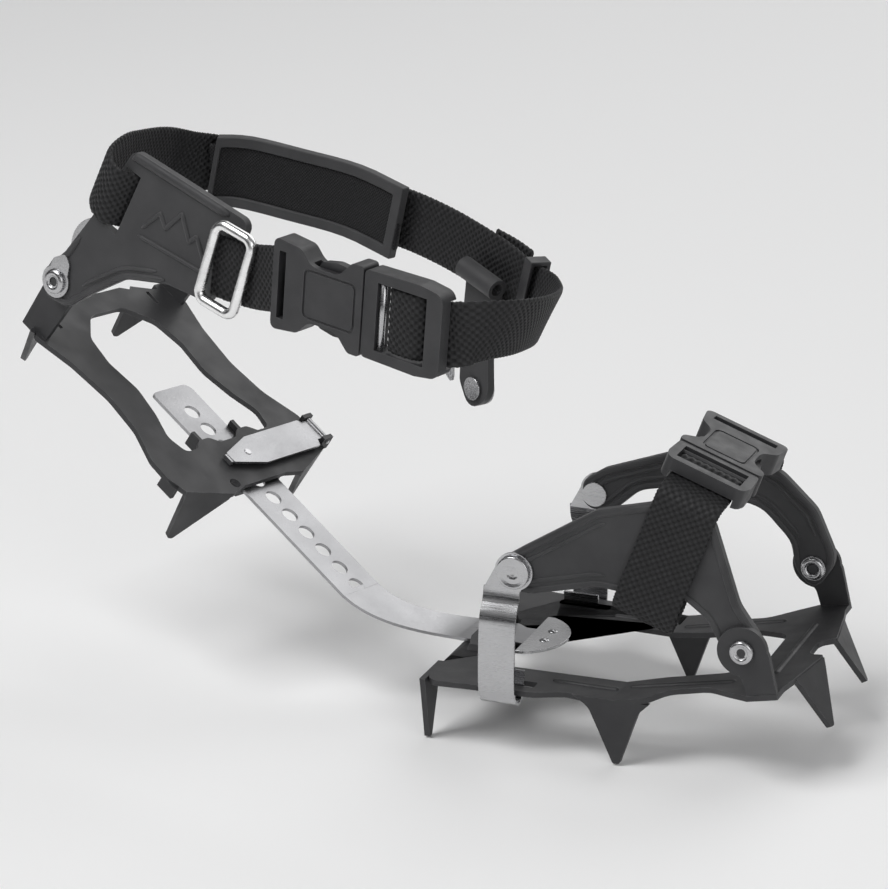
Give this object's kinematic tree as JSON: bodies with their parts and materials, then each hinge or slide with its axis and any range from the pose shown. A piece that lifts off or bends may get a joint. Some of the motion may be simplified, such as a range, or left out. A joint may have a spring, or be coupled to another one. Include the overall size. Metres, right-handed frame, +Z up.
{
  "type": "strap-on crampon",
  "caption": "Strap-on walking crampon: spiked toe and heel plates joined by a perforated leaf-spring bar, with a buckled rubber toe harness and a webbing ankle loop.",
  "frame": {"origin": "on the toe frame's top face, midway between its two middle points", "axes": "+X towards the toe, +Y towards the latch side, +Z up out of the sole seat"},
  "size_m": [0.3471, 0.1588, 0.216],
  "materials": {
    "coated_steel": "matte dark coating",
    "stainless": "satin stainless",
    "spring_steel": "lengthwise brushed",
    "ring_wire": "polished wire",
    "rubber": "moulded matte elastomer",
    "buckle_plastic": "moulded satin",
    "webbing": "woven webbing",
    "pad_textile": "fine mesh textile"
  },
  "bodies": {
    "toe": {"toe_frame": "coated_steel", "toe_front_rivets": "stainless", "toe_harness_near": "rubber", "toe_harness_far": "rubber", "toe_webbing_near": "webbing", "toe_webbing_far": "webbing", "toe_buckle_female": "buckle_plastic", "toe_bracket_near": "stainless", "toe_bracket_far": "stainless", "toe_rear_rivet_near": "stainless", "toe_rear_rivet_far": "stainless", "bar_stop_plate": "stainless", "bar_stop_rivets": "stainless"},
    "toe_male": {"toe_buckle_male": "buckle_plastic"},
    "spring_bar": {"leaf_spring_bar": "spring_steel"},
    "heel": {"heel_frame": "coated_steel", "heel_rivet_near": "stainless", "latch_hinge_wire": "stainless"},
    "latch": {"bar_latch": "spring_steel", "latch_pin": "stainless"},
    "ankle": {"heel_panel_near": "rubber", "heel_washers": "rubber", "heel_stop_link": "stainless", "heel_side_plate": "stainless", "heel_ring": "ring_wire", "ring_webbing": "webbing", "ankle_buckle_female": "buckle_plastic", "ankle_webbing_back": "webbing", "heel_pad_frame": "rubber", "heel_pad_insert": "pad_textile", "strap_keeper": "buckle_plastic", "webbing_tail": "webbing"},
    "ankle_male": {"ankle_buckle_male": "buckle_plastic", "ankle_webbing_front": "webbing"},
    "far_panel": {"heel_panel_far": "rubber", "far_rivet": "stainless"},
    "far_hook": {"far_hook": "stainless"}
  },
  "joints": [
    {"name": "toe_buckle_release", "type": "slide", "parent": "toe", "child": "toe_male", "axis": [0, -1, 0], "range_m": [0, 0.02], "deforming": ["toe_webbing_near"]},
    {"name": "bar_flex", "type": "hinge", "parent": "toe", "child": "spring_bar", "pos_m": [-0.092, 0, 0.0015], "axis": [0, 0.9089, -0.417], "range_deg": [-36, 8], "stiffness_Nm_per_rad": 10.7, "deforming": ["leaf_spring_bar"]},
    {"name": "heel_length_slide", "type": "slide", "parent": "spring_bar", "child": "heel", "axis": [0.8065, -0.2466, -0.5373], "range_m": [-0.03, 0.01]},
    {"name": "latch_lift", "type": "hinge", "parent": "heel", "child": "latch", "pos_m": [-0.16045, 0.04506, 0.05829], "axis": [-0.8065, 0.2466, 0.5373], "range_deg": [0, 25], "stiffness_Nm_per_rad": 0.05, "springref_deg": -11.46},
    {"name": "ankle_swing", "type": "hinge", "parent": "heel", "child": "ankle", "pos_m": [-0.23808, -0.02404, 0.13298], "axis": [0.2465, 0.9664, -0.0735], "range_deg": [-12, 20]},
    {"name": "ankle_buckle_release", "type": "slide", "parent": "ankle", "child": "ankle_male", "axis": [0.9527, -0.2913, -0.0872], "range_m": [0, 0.026], "deforming": ["ankle_webbing_front"]},
    {"name": "far_panel_swing", "type": "hinge", "parent": "ankle", "child": "far_panel", "pos_m": [-0.07918, 0.01609, 0.1397], "axis": [-0.8383, 0.4915, 0.2357], "range_deg": [0, 25]},
    {"name": "far_hook_turn", "type": "hinge", "parent": "far_panel", "child": "far_hook", "pos_m": [-0.07935, 0.01912, 0.09461], "axis": [0.4936, 0.868, -0.0544], "range_deg": [-30, 60]}
  ]
}
